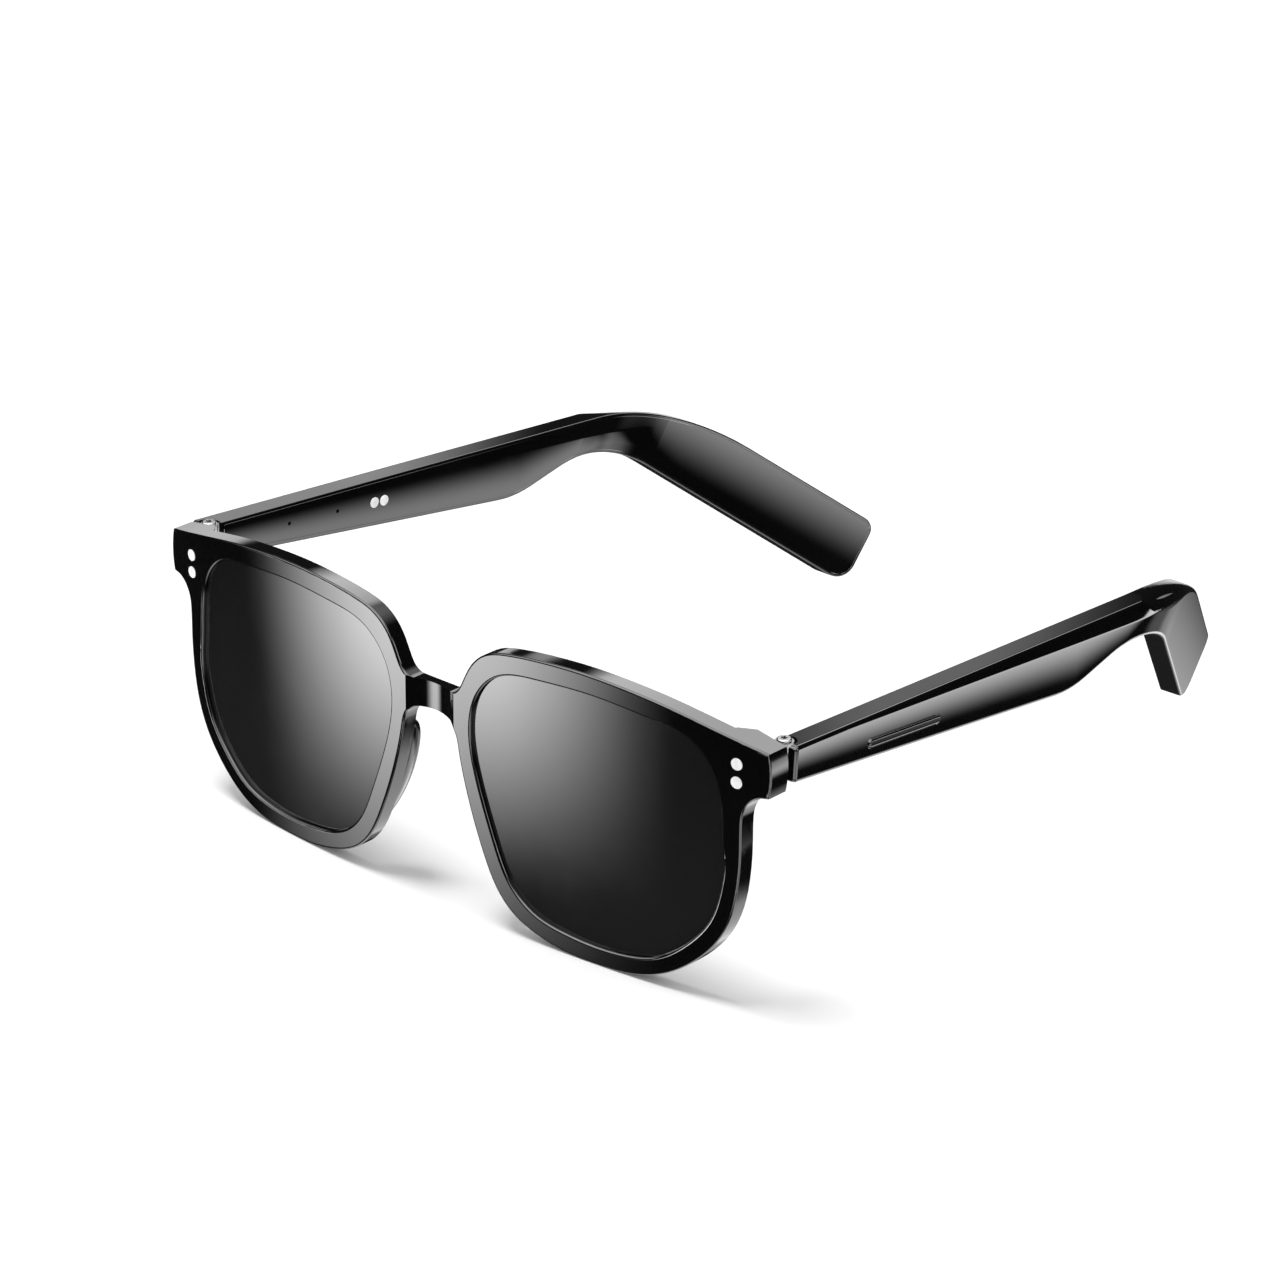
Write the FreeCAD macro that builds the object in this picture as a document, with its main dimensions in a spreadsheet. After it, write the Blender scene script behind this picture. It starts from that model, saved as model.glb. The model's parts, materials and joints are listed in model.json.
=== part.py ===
import FreeCAD, Part
import math
import os

from FreeCAD import Placement, Rotation, Vector

# Smart glasses: an acetate front with two sunglass lenses, and two folding temples that each hold a
# battery, a circuit board, a speaker, microphones and charging contacts.
# Frame of the part: X across the face (+X is the wearer's left), -Y the way the lenses look,
# +Z up, Z = 0 the table that the rims and the temple tips rest on. Millimetres throughout.

doc = FreeCAD.newDocument("SmartGlasses")
sheet = doc.addObject("Spreadsheet::Sheet", "Sizes")

SIZES = {
    # the front
    "front_y": -86.62,
    "front_curve_radius": 400.0,
    "front_thickness": 3.3,
    "front_band_height": 58.0,
    "front_edge_round": 0.4,
    "front_rear_round": 0.35,
    "lens_centre_height": 28.2,
    "end_piece_rear": 11.2,
    "end_piece_floor": 41.0,
    "end_piece_height": 12.0,
    "bridge_scoop_radius": 12.6,
    "bridge_scoop_depth": 1.5,
    # lenses and their groove
    "lens_setback": 0.85,
    "lens_thickness": 1.8,
    "lens_overlap": 0.75,
    "groove_play": 0.05,
    # rivets in the end pieces
    "rivet_radius": 1.1,
    "rivet_length": 5.1,
    "rivet_across": 66.4,
    "rivet_low": 42.95,
    "rivet_pitch": 3.4,
    # hinges
    "hinge_across": 70.0,
    "hinge_back": 13.4,
    "hinge_height": 46.2,
    "knuckle_radius": 1.7,
    "knuckle_height": 1.9,
    "knuckle_play": 0.08,
    "outer_knuckle_height": 1.95,
    "pin_radius": 0.7,
    "pin_play": 0.05,
    "screw_head_radius": 1.3,
    "screw_head_height": 0.55,
    "hinge_plate_depth": 1.0,
    "hinge_plate_width": 5.7,
    "hinge_arm_width": 2.2,
    "temple_notch_radius": 2.3,
    "temple_arm_width": 0.9,
    "temple_arm_length": 2.7,
    "temple_arm_height": 1.6,
    "temple_step_length": 0.8,
    "temple_plate_width": 0.8,
    "temple_plate_length": 7.5,
    "temple_plate_height": 3.0,
    "leaf_screw_head_radius": 0.9,
    "leaf_screw_head_height": 0.5,
    "leaf_screw_shank_radius": 0.5,
    "leaf_screw_shank_length": 1.5,
    # temples
    "temple_toe_in": 1.8,
    "temple_drop": 3.656,
    "temple_inner": -1.1,
    "temple_outer": 3.6,
    "temple_reach": 200.0,
    "temple_outer_round": 0.7,
    "temple_inner_round": 0.3,
    "wall": 1.3,
    "outer_wall": 0.9,
    "cover_thickness": 0.9,
    "cover_margin": 0.6,
    "cover_play": 0.05,
    "bend_radius": 50.0,
    "bend_angle": 21.9,
    "bend_start": 83.5,
    "bend_lean": 32.5,
    # electronics
    "board_inner": 0.9,
    "board_thickness": 0.6,
    "board_length": 45.0,
    "board_height": 3.9,
    "chip_depth": 1.0,
    "chip_shield_length": 10.0,
    "chip_shield_height": 3.5,
    "microphone_length": 3.6,
    "microphone_height": 2.4,
    "contact_radius": 1.05,
    "contact_length": 2.1,
    "pinhole_radius": 0.35,
    "battery_thickness": 2.4,
    "flex_thickness": 0.14,
    "speaker_thickness": 2.4,
    "grille_width": 1.2,
    "grille_length": 9.0,
    "grille_depth": 4.0,
    "mesh_thickness": 0.3,
    # volume bar
    "bar_proud": 0.35,
    "bar_flange_thickness": 0.5,
    "bar_flange_inner": 2.1,
    "bar_slot_depth": 3.0,
    "bar_switch_thickness": 0.2,
    "bar_switch_length": 3.2,
    "bar_switch_height": 1.6,
}
for row, (alias, value) in enumerate(SIZES.items(), start=1):
    sheet.set("A%d" % row, alias)
    sheet.set("B%d" % row, str(value))
    sheet.setAlias("B%d" % row, alias)
doc.recompute()


def size(alias):
    """The number in the sheet's cell with this alias."""
    return float(sheet.get(alias))


SIDES = {"left": 1, "right": -1}
FRONT_Y = size("front_y")
LENS_Z = size("lens_centre_height")
CURVE_RADIUS = size("front_curve_radius")
TINY = 1e-6

# Half of the front's outer outline, as (across, height above the lens centre).
BROW = [(4.4, 14.0), (6.4, 14.9), (8.1, 17.7), (10.4, 21.5), (13.8, 24.1), (18.6, 25.4), (26.0, 26.2),
        (34.5, 26.5), (43.0, 26.1), (52.0, 25.1), (62.0, 23.3), (72.4, 21.4)]
END_SIDE = [(72.4, 21.4), (72.9, 17.3), (72.4, 13.1)]
RIM = [(71.1, 12.9), (69.2, 11.9), (67.8, 9.9), (67.3, 6.5), (67.3, 1.5), (66.9, -4.5), (65.8, -10.2),
       (63.2, -16.0), (58.6, -21.3), (52.4, -25.6), (45.8, -27.7), (38.5, -28.2), (31.0, -27.9),
       (24.8, -26.6), (19.4, -24.2), (15.6, -20.4), (12.6, -14.7), (10.2, -8.6), (8.2, -2.3),
       (6.8, 3.6), (5.9, 6.9), (4.4, 8.5)]
BRIDGE_ARCH = 8.9

# Lens opening of the wearer's left eye, as (across, height above the lens centre).
OPENING = [(64.0, 0.0), (63.4, 8.0), (61.7, 15.4), (57.0, 20.2), (49.8, 21.7), (37.4, 22.7), (24.6, 22.2),
           (16.4, 20.5), (11.2, 15.2), (9.7, 7.4), (11.1, 0.0), (15.2, -11.4), (18.9, -18.6),
           (24.2, -22.7), (30.9, -24.3), (37.4, -24.8), (44.0, -24.5), (50.6, -22.9), (56.9, -18.4),
           (61.6, -12.4), (63.5, -6.3)]

# Side outline of a temple in its own frame, counter-clockwise: (back from the hinge, height, corner radius).
TEMPLE = [(-1.4, -3.5, 0.8), (79.8, -8.87, 25.0), (104.4, -1.48, 26.0), (155.3, -37.95, 4.3),
          (163.5, -26.4, 2.5), (121.8, 3.1, 58.0), (-1.4, 3.1, 0.8)]
# The shoulder along the outer face's top edge: (back from the hinge, radius).
SHOULDER = [(-0.6, 0.7), (95.0, 2.0), (112.0, 2.0), (160.0, 0.7)]
# The tip's upward direction in side view, as (back, height), and where its middle lies along it.
TIP_UP = (0.5775, 0.8164)
TIP_MIDDLE = 68.0
CAVITY_FRONT = 3.0
COVER_FRONT = 2.7
CELL_INNER = 0.1
GRILLE_CENTRE = (1.2, 68.0, -7.3)
GRILLE_TILT = -3.8
SPEAKER = [(60.0, -5.9, 1.5), (75.0, -5.9, 1.5), (75.0, -0.1, 1.5), (60.0, -0.1, 1.5)]
PINHOLES = [(19.1, -0.9), (31.5, -1.15)]
CONTACTS = [(41.15, -1.5), (43.7, -1.6)]
BATTERY = [(129.3, -15.9, 0.8), (153.7, -33.4, 0.8), (159.3, -25.5, 0.8), (134.75, -8.2, 0.8)]
FLEX = [(50.0, 0.2, 0.2), (95.6, 0.2, 20.0), (111.3, -2.1, 20.0), (131.6, -12.6, 0.2), (132.3, -11.6, 0.2),
        (112.0, -0.8, 20.0), (96.0, 1.5, 20.0), (50.0, 1.5, 0.2)]

# Volume bar on the wearer's left temple: slot centre, tilt and lengths.
BAR_CENTRE = (29.1, -2.35)
BAR_TILT = -2.5
BAR_SLOT = (21.0, 2.0)
BAR_CAP = (20.4, 1.4)
BAR_FLANGE = (21.8, 2.7)

# Nose pad sections: height above the lens centre, across, back from the front, half depth, half width.
NOSE_PAD = [(3.4, 8.6, 3.7, 1.2, 0.8), (0.8, 9.4, 4.6, 2.8, 1.4), (-4.0, 10.7, 5.0, 3.4, 1.7),
            (-9.5, 12.4, 4.9, 3.2, 1.7), (-15.0, 14.7, 4.3, 2.5, 1.5), (-19.2, 17.0, 3.8, 1.3, 0.9)]
NOSE_PAD_SPLAY = 16.0

# Lowest corners of the box-shaped pieces, for the wearer's left side.
ARM_CORNER = (0.75, 0.9, -0.8)
STEP_CORNER = (0.75, 3.1, -1.6)
PLATE_CORNER = (1.9, 3.1, -1.6)
BOARD_START = (12.0, -2.6)
SHIELD_START = (46.5, -2.4)
SWITCH_CORNER = (1.5, 27.4, -3.1)
LEAF_SCREWS_BACK = (5.6, 8.9)
DRIVE_RADII = (0.85, 0.5)
LEAF_SCREWS_HEIGHT = -0.1

# Half widths of the curved blanks, and an upright window that takes in the whole front.
LENS_BLANK = 80.0
FRONT_BLANK = 74.0
PAD_TRIM_BLANK = 60.0
PAD_TRIM_REACH = 4.0
FRONT_WINDOW = (-90.0, -5.0, 90.0, 70.0)
TEMPLE_WINDOW = (-300.0, -300.0, 400.0, 300.0)
END_PIECE_INNER = 63.6


# ---------------------------------------------------------------- outlines

def arc_through(first, middle, last):
    """The circular arc through three points, counter-clockwise as a sketch wants it."""
    circle = Part.Circle(first, middle, last)
    start = math.atan2(first.y - circle.Center.y, first.x - circle.Center.x)
    end = math.atan2(last.y - circle.Center.y, last.x - circle.Center.x)
    if (middle - first).cross(last - middle).z < 0:
        start, end = end, start
    if end < start:
        end += 2 * math.pi
    return Part.ArcOfCircle(Part.Circle(circle.Center, Vector(0, 0, 1), circle.Radius), start, end)


def rounded_polygon(corners):
    """A closed outline of straight sides joined by tangent arcs; corners are (x, y, radius)."""
    joints = []
    count = len(corners)
    for index, (x, y, radius) in enumerate(corners):
        here = Vector(x, y, 0)
        before = Vector(corners[index - 1][0], corners[index - 1][1], 0) - here
        after = Vector(corners[(index + 1) % count][0], corners[(index + 1) % count][1], 0) - here
        before.normalize()
        after.normalize()
        half = before.getAngle(after) / 2
        bisector = before + after
        bisector.normalize()
        setback = radius / math.tan(half)
        middle = here + bisector * (radius / math.sin(half) - radius)
        joints.append((here + before * setback, middle, here + after * setback))
    curves = []
    for index, (first, middle, last) in enumerate(joints):
        curves.append(arc_through(first, middle, last))
        following = joints[(index + 1) % count][0]
        if (following - last).Length > TINY:
            curves.append(Part.LineSegment(last, following))
    return curves


def polygon(points):
    """A closed outline of straight sides."""
    ends = [Vector(x, y, 0) for x, y in points]
    return [Part.LineSegment(a, b) for a, b in zip(ends, ends[1:] + ends[:1])]


def inset(corners, gap, front=None):
    """The counter-clockwise outline moved inwards by gap, its first and last corners at front."""
    result = []
    count = len(corners)
    for index, (x, y, radius) in enumerate(corners):
        here = Vector(x, y, 0)
        before = here - Vector(corners[index - 1][0], corners[index - 1][1], 0)
        after = Vector(corners[(index + 1) % count][0], corners[(index + 1) % count][1], 0) - here
        before.normalize()
        after.normalize()
        left_before = Vector(-before.y, before.x, 0)
        left_after = Vector(-after.y, after.x, 0)
        shift = (left_before + left_after) * (gap / (1 + left_before.dot(left_after)))
        convex = before.cross(after).z > 0
        new_radius = max(radius - gap, 0.3) if convex else radius + gap
        result.append((x + shift.x, y + shift.y, new_radius))
    if front is not None:
        for index in (0, -1):
            result[index] = (front, result[index][1], result[index][2])
    return result


def spline(points, closed=False):
    """A smooth curve through the points."""
    curve = Part.BSplineCurve()
    curve.interpolate([Vector(x, y, 0) for x, y in points], PeriodicFlag=closed)
    return curve


def offset_outline(points, gap):
    """Points of the closed outline moved outwards by gap, square to it."""
    curve = spline(points, closed=True)
    moved = []
    for x, y in points:
        along = curve.tangent(curve.parameter(Vector(x, y, 0)))[0]
        moved.append((x + along.y * gap, y - along.x * gap))
    return moved


def pill(centre, lengths, tilt):
    """A slot with round ends, tilted in its plane."""
    half_long = lengths[0] / 2
    half_short = lengths[1] / 2
    turn = math.radians(tilt)
    corners = []
    for x, y in ((-half_long, -half_short), (half_long, -half_short), (half_long, half_short),
                 (-half_long, half_short)):
        corners.append((centre[0] + x * math.cos(turn) - y * math.sin(turn),
                        centre[1] + x * math.sin(turn) + y * math.cos(turn), half_short - 0.001))
    return rounded_polygon(corners)


# ---------------------------------------------------------------- document objects

def new_body(label):
    body = doc.addObject("PartDesign::Body", label)
    body.Label = label
    return body


def sketch(body, role, curves, offset=None):
    """A sketch of these curves on one of the body's origin planes."""
    drawing = body.newObject("Sketcher::SketchObject", body.Name + "_outline")
    base = next(item for item in body.Origin.OriginFeatures if item.Role == role)
    drawing.AttachmentSupport = (base, "")
    drawing.MapMode = "FlatFace"
    if offset is not None:
        drawing.AttachmentOffset = offset
    drawing.addGeometry(curves, False)
    return drawing


def pad(body, drawing, formula, both_ways=False, backwards=False):
    feature = body.newObject("PartDesign::Pad", body.Name + "_pad")
    feature.Profile = drawing
    feature.setExpression("Length", formula)
    if both_ways:
        feature.SideType = "Symmetric"
    feature.Reversed = backwards
    body.Tip = feature
    return feature


def pocket_through(body, drawing):
    feature = body.newObject("PartDesign::Pocket", body.Name + "_pocket")
    feature.Profile = drawing
    feature.Type = "ThroughAll"
    feature.SideType = "Symmetric"
    feature.Type2 = "ThroughAll"
    body.Tip = feature
    return feature


def round_edges(body, formula, wanted):
    """Rounds those edges of the body's tip whose sampled points all pass the test."""
    doc.recompute()
    base = body.Tip
    names = []
    for index, edge in enumerate(base.Shape.Edges, start=1):
        if edge.Length > 0.05 and all(wanted(point) for point in edge.discretize(5)):
            names.append("Edge%d" % index)
    feature = body.newObject("PartDesign::Fillet", body.Name + "_fillet")
    feature.Base = (base, names)
    feature.setExpression("Radius", formula)
    body.Tip = feature
    return feature


def boolean(kind, label, base, tool):
    """Part::Cut or Part::Common of two objects."""
    result = doc.addObject("Part::" + kind, label)
    result.Label = label
    result.Base = base
    result.Tool = tool
    return result


def fuse(label, pieces):
    result = doc.addObject("Part::MultiFuse", label)
    result.Label = label
    result.Shapes = pieces
    return result


def group(label, pieces):
    """Separate solids that share one node."""
    result = doc.addObject("Part::Compound", label)
    result.Label = label
    result.Links = pieces
    return result


def cylinder(label, radius, height, placement):
    """A Part::Cylinder whose radius and height are formulas on the sheet."""
    piece = doc.addObject("Part::Cylinder", label)
    piece.Label = label
    piece.setExpression("Radius", radius)
    piece.setExpression("Height", height)
    piece.Placement = placement
    return piece


def box(label, sign, corner, formulas, placement=Placement()):
    """A Part::Box with its lowest corner for the wearer's left side, mirrored where sign is -1.

    The formulas on the sheet give its size outwards, back and up.
    """
    piece = doc.addObject("Part::Box", label)
    piece.Label = label
    for name, formula in zip(("Length", "Width", "Height"), formulas):
        piece.setExpression(name, formula)
    across, back, height = corner
    if sign < 0:
        across = -across - float(piece.evalExpression(formulas[0]))
    piece.Placement = placement * Placement(Vector(across, back, height), Rotation())
    return piece


# ---------------------------------------------------------------- the front

def front_depth(across):
    """How far back the front's face lies at a distance from the middle."""
    return CURVE_RADIUS - math.sqrt(CURVE_RADIUS ** 2 - across ** 2)


def curved_band(body, start, thickness, half_span, height_formula):
    """Pads a curved plate that starts at a depth behind the front's face."""
    centre = Vector(0, FRONT_Y + CURVE_RADIUS, 0)
    outer = CURVE_RADIUS - start
    inner = outer - thickness
    spread = math.asin(half_span / outer)
    middle = 1.5 * math.pi
    arcs = []
    ends = []
    for radius in (outer, inner):
        circle = Part.Circle(centre, Vector(0, 0, 1), radius)
        arc = Part.ArcOfCircle(circle, middle - spread, middle + spread)
        arcs.append(arc)
        ends.append((arc.StartPoint, arc.EndPoint))
    sides = [Part.LineSegment(ends[0][0], ends[1][0]), Part.LineSegment(ends[0][1], ends[1][1])]
    drawing = sketch(body, "XY_Plane", arcs + sides)
    return pad(body, drawing, height_formula)


def keep_inside(body, role, curves, reach):
    """Cuts away all of the body that lies outside the outline."""
    low_x, low_y, high_x, high_y = reach
    frame = polygon([(low_x, low_y), (high_x, low_y), (high_x, high_y), (low_x, high_y)])
    return pocket_through(body, sketch(body, role, frame + curves))


def mirrored(points):
    return [(-x, y) for x, y in reversed(points)]


def raised(points):
    """Points given above the lens centre, moved to their height above the table."""
    return [(x, y + LENS_Z) for x, y in points]


def front_outline():
    """The closed outline of the front: brows, end pieces, rims and bridge."""
    brow = raised(BROW)
    side = raised(END_SIDE)
    rim = raised(RIM)
    curves = []
    for flip in (lambda points: points, mirrored):
        ends = [Vector(x, y, 0) for x, y in flip(side)]
        step = [Vector(x, y, 0) for x, y in flip([side[-1], rim[0]])]
        curves.append(spline(flip(brow)))
        curves.append(arc_through(*ends))
        curves.append(Part.LineSegment(*step))
        curves.append(spline(flip(rim)))
    top_end = Vector(brow[0][0], brow[0][1], 0)
    low_end = Vector(rim[-1][0], rim[-1][1], 0)
    curves.append(Part.LineSegment(Vector(-top_end.x, top_end.y, 0), top_end))
    curves.append(arc_through(low_end, Vector(0, BRIDGE_ARCH + LENS_Z, 0), Vector(-low_end.x, low_end.y, 0)))
    return curves


def opening_outline(sign, gap=0.0):
    """The lens opening of one eye, made larger by gap."""
    points = offset_outline(OPENING, gap) if gap else OPENING
    placed = raised([(sign * x, y) for x, y in points])
    return [spline(placed, closed=True)]


def eye_plate(label, sign, start, thickness, gap):
    """A curved plate of the lens opening's outline, made larger by gap."""
    body = new_body(label)
    curved_band(body, start, thickness, LENS_BLANK, "Sizes.front_band_height")
    keep_inside(body, "XZ_Plane", opening_outline(sign, gap), FRONT_WINDOW)
    return body


def bridge_scoop(body):
    """Hollows the face of the bridge between the eyewires."""
    radius = size("bridge_scoop_radius")
    centre = Vector(0, FRONT_Y + size("bridge_scoop_depth") - radius, 0)
    drawing = sketch(body, "XY_Plane", [Part.Circle(centre, Vector(0, 0, 1), radius)])
    return pocket_through(body, drawing)


def end_piece_plan(sign):
    """The block behind one end of the front, seen from above."""
    rear = FRONT_Y + size("end_piece_rear")
    chamfer = 2.4
    corners = [(END_PIECE_INNER, FRONT_Y + front_depth(END_PIECE_INNER) + 2.5),
               (FRONT_BLANK, FRONT_Y + front_depth(FRONT_BLANK) + 1.0), (FRONT_BLANK, rear),
               (END_PIECE_INNER + chamfer, rear), (END_PIECE_INNER, rear - chamfer)]
    return polygon([(sign * x, y) for x, y in corners])


def make_front(rivets, hinge_plates):
    """The one-piece front with its lens grooves, rivet holes and hinge recesses."""
    body = new_body("front_blank")
    curved_band(body, 0.0, size("front_thickness"), FRONT_BLANK, "Sizes.front_band_height")
    blocks = end_piece_plan(1) + end_piece_plan(-1)
    lift = Placement(Vector(0, 0, size("end_piece_floor")), Rotation())
    pad(body, sketch(body, "XY_Plane", blocks, lift), "Sizes.end_piece_height")
    keep_inside(body, "XZ_Plane", front_outline(), FRONT_WINDOW)
    openings = opening_outline(1) + opening_outline(-1)
    pocket_through(body, sketch(body, "XZ_Plane", openings))
    axis = Vector(0, FRONT_Y + CURVE_RADIUS, 0)

    def on_curve(point, radius):
        return abs(math.hypot(point.x - axis.x, point.y - axis.y) - radius) < 1e-3

    round_edges(body, "Sizes.front_edge_round", lambda point: on_curve(point, CURVE_RADIUS))
    rear_radius = CURVE_RADIUS - size("front_thickness")
    low_z = LENS_Z - 26.0
    high_z = LENS_Z + 24.0
    round_edges(body, "Sizes.front_rear_round",
                lambda point: on_curve(point, rear_radius) and 9.0 < abs(point.x) < 64.5
                and low_z < point.z < high_z)
    bridge_scoop(body)
    result = body
    play = size("groove_play")
    for side, sign in SIDES.items():
        groove = eye_plate("lens_groove_" + side, sign, size("lens_setback") - play,
                           size("lens_thickness") + 2 * play, size("lens_overlap") + play)
        result = boolean("Cut", "front_grooved_" + side, result, groove)
    for index, tool in enumerate(rivets + hinge_plates):
        result = boolean("Cut", "front_cut_%d" % index, result, tool)
    result.Label = "front_frame"
    return result


def make_lens(side, sign):
    return eye_plate("lens_" + side, sign, size("lens_setback"), size("lens_thickness"),
                     size("lens_overlap"))


def make_nose_pad(side, sign):
    """A teardrop pad lofted through level sections, trimmed to sit on the back of the rim."""
    body = new_body("nose_pad_form_" + side)
    sections = []
    turn = math.radians(NOSE_PAD_SPLAY)
    for height, across, back, half_depth, half_width in NOSE_PAD:
        centre = Vector(sign * across, FRONT_Y + back, 0)
        deep = Vector(sign * math.sin(turn), math.cos(turn), 0) * half_depth
        wide = Vector(-deep.y, deep.x, 0) * (half_width / half_depth)
        ring = Part.Ellipse(centre + deep, centre + wide, centre)
        lift = Placement(Vector(0, 0, LENS_Z + height), Rotation())
        sections.append(sketch(body, "XY_Plane", [ring], lift))
    loft = body.newObject("PartDesign::AdditiveLoft", body.Name + "_loft")
    loft.Profile = sections[0]
    loft.Sections = sections[1:]
    body.Tip = loft
    front_side = new_body("nose_pad_trim_" + side)
    curved_band(front_side, -PAD_TRIM_REACH, size("front_thickness") + PAD_TRIM_REACH, PAD_TRIM_BLANK,
                "Sizes.front_band_height")
    return boolean("Cut", "nose_pad_" + side, body, front_side)


# ---------------------------------------------------------------- rivets and hinges

def make_rivets(side, sign):
    """Two pins, one above the other, square to the end piece's face."""
    pins = []
    across = size("rivet_across")
    slope = math.degrees(math.asin(across / CURVE_RADIUS))
    for step in (0, 1):
        height = size("rivet_low") + step * size("rivet_pitch")
        start = Vector(sign * across, FRONT_Y + front_depth(across) - 0.1, height)
        turn = Rotation(Vector(0, 0, 1), sign * slope) * Rotation(Vector(1, 0, 0), -90)
        pins.append(cylinder("rivet_%s_%d" % (side, step), "Sizes.rivet_radius", "Sizes.rivet_length",
                             Placement(start, turn)))
    return pins


def hinge_point(sign, height):
    return Vector(sign * size("hinge_across"), FRONT_Y + size("hinge_back"), height)


BARREL_FORMULA = "2 * Sizes.knuckle_play + Sizes.knuckle_height + 2 * Sizes.outer_knuckle_height"


def knuckle_span():
    """Bottom and top of the temple's knuckle, and bottom and top of the whole hinge barrel."""
    half = size("knuckle_height") / 2
    low = size("hinge_height") - half
    high = size("hinge_height") + half
    reach = size("knuckle_play") + size("outer_knuckle_height")
    return low, high, low - reach, high + reach


def make_front_hinge(side, sign, rivets):
    """The hinge leaf let into the back of the end piece, with the upper and the lower knuckle."""
    _, high, bottom, _ = knuckle_span()
    plate_front = FRONT_Y + size("end_piece_rear") - size("hinge_plate_depth")
    arm_front = FRONT_Y + size("end_piece_rear") - size("hinge_plate_depth") / 2
    pieces = [box("leaf_plate_" + side, sign, (64.9, plate_front, bottom),
                  ("Sizes.hinge_plate_width", "Sizes.hinge_plate_depth", BARREL_FORMULA))]
    for name, start in (("low", bottom), ("high", high + size("knuckle_play"))):
        pieces.append(box("leaf_arm_%s_%s" % (name, side), sign, (68.9, arm_front, start),
                          ("Sizes.hinge_arm_width",
                           "Sizes.hinge_back - Sizes.end_piece_rear + Sizes.hinge_plate_depth / 2",
                           "Sizes.outer_knuckle_height")))
        knuckle_start = Placement(hinge_point(sign, start), Rotation())
        pieces.append(cylinder("leaf_knuckle_%s_%s" % (name, side), "Sizes.knuckle_radius",
                               "Sizes.outer_knuckle_height", knuckle_start))
    leaf = fuse("front_leaf_solid_" + side, pieces)
    hole = cylinder("front_leaf_hole_" + side, "Sizes.pin_radius", "Sizes.front_band_height",
                    Placement(hinge_point(sign, 0), Rotation()))
    leaf = boolean("Cut", "front_leaf_bored_" + side, leaf, hole)
    for index, rivet in enumerate(rivets):
        leaf = boolean("Cut", "front_leaf_riveted_%s_%d" % (side, index), leaf, rivet)
    leaf.Label = "front_hinge_" + side
    return leaf


def make_hinge_screw(side, sign):
    """A round-headed screw with a six-lobed drive that closes the hinge from above."""
    bottom, top = knuckle_span()[2:]
    body = new_body("hinge_screw_" + side)
    body.Placement = Placement(hinge_point(sign, 0), Rotation())
    shank = sketch(body, "XY_Plane", [Part.Circle(Vector(0, 0, 0), Vector(0, 0, 1), size("pin_radius"))],
                   Placement(Vector(0, 0, bottom), Rotation()))
    pad(body, shank, BARREL_FORMULA)
    head = sketch(body, "XY_Plane",
                  [Part.Circle(Vector(0, 0, 0), Vector(0, 0, 1), size("screw_head_radius"))],
                  Placement(Vector(0, 0, top), Rotation()))
    pad(body, head, "Sizes.screw_head_height")
    crown = top + size("screw_head_height")
    round_edges(body, "0.45 * Sizes.screw_head_height", lambda point: abs(point.z - crown) < 1e-4)
    lobes = []
    points = 12
    for index in range(points):
        turn = index * 2 * math.pi / points
        radius = DRIVE_RADII[index % 2]
        lobes.append((radius * math.cos(turn), radius * math.sin(turn)))
    drive = sketch(body, "XY_Plane", [spline(lobes, closed=True)],
                   Placement(Vector(0, 0, crown), Rotation()))
    recess = body.newObject("PartDesign::Pocket", body.Name + "_drive")
    recess.Profile = drive
    recess.setExpression("Length", "0.7 * Sizes.screw_head_height")
    body.Tip = recess
    return body


# ---------------------------------------------------------------- temples

def temple_placement(sign):
    """The temple's own frame: origin on the hinge axis, Y back along the temple, X outwards times side."""
    turn = Rotation(Vector(0, 0, 1), sign * size("temple_toe_in"))
    tilt = Rotation(Vector(1, 0, 0), -size("temple_drop"))
    return Placement(hinge_point(sign, size("hinge_height")), turn * tilt)


def bend_centre():
    """Centre of the temple's inward bend, in the plane square to the bend's axis."""
    middle = (size("temple_inner") + size("temple_outer")) / 2
    return middle - size("bend_radius"), size("bend_start")


def wall_coordinate(point, sign):
    """How far outwards a point of the temple lies through its thickness, straight or bent."""
    lean = math.radians(size("bend_lean"))
    along = point.y * math.cos(lean) - point.z * math.sin(lean)
    centre_x, centre_y = bend_centre()
    across = sign * point.x - centre_x
    back = along - centre_y
    angle = math.radians(size("bend_angle"))
    if back <= 0:
        return across + centre_x
    if math.atan2(back, across) < angle:
        return math.hypot(across, back) + centre_x
    return across * math.cos(angle) + back * math.sin(angle) + centre_x


def slab(label, sign, inner, outer, corners):
    """A plate that follows the temple's bend, between two depths, trimmed to a side outline."""
    body = new_body(label)
    body.Placement = temple_placement(sign)
    centre_x, centre_y = bend_centre()
    angle = math.radians(size("bend_angle"))
    front_end = -60.0
    length = 90.0
    edges = []
    ends = []
    for depth in (inner, outer):
        radius = depth - centre_x
        points = []
        for share in (0.0, 0.5, 1.0):
            points.append(Vector(sign * (centre_x + radius * math.cos(share * angle)),
                                 centre_y + radius * math.sin(share * angle), 0))
        start = Vector(sign * depth, front_end, 0)
        finish = points[2] + Vector(-sign * math.sin(angle), math.cos(angle), 0) * length
        edges += [Part.LineSegment(start, points[0]), arc_through(*points)]
        edges.append(Part.LineSegment(points[2], finish))
        ends.append((start, finish))
    edges += [Part.LineSegment(ends[0][0], ends[1][0]), Part.LineSegment(ends[0][1], ends[1][1])]
    lean = Placement(Vector(0, 0, 0), Rotation(Vector(1, 0, 0), -size("bend_lean")))
    pad(body, sketch(body, "XY_Plane", edges, lean), "Sizes.temple_reach", both_ways=True)
    keep_inside(body, "YZ_Plane", rounded_polygon(corners), TEMPLE_WINDOW)
    return body


def shoulder_radius(point, on_top):
    """Radius of the round beside the outer face at a point of the temple's own frame."""
    if not on_top:
        return size("temple_outer_round")
    for (start, first), (end, second) in zip(SHOULDER, SHOULDER[1:]):
        if point.y <= end:
            share = max(0.0, (point.y - start) / (end - start))
            return first + (second - first) * share
    return SHOULDER[-1][1]


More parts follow.
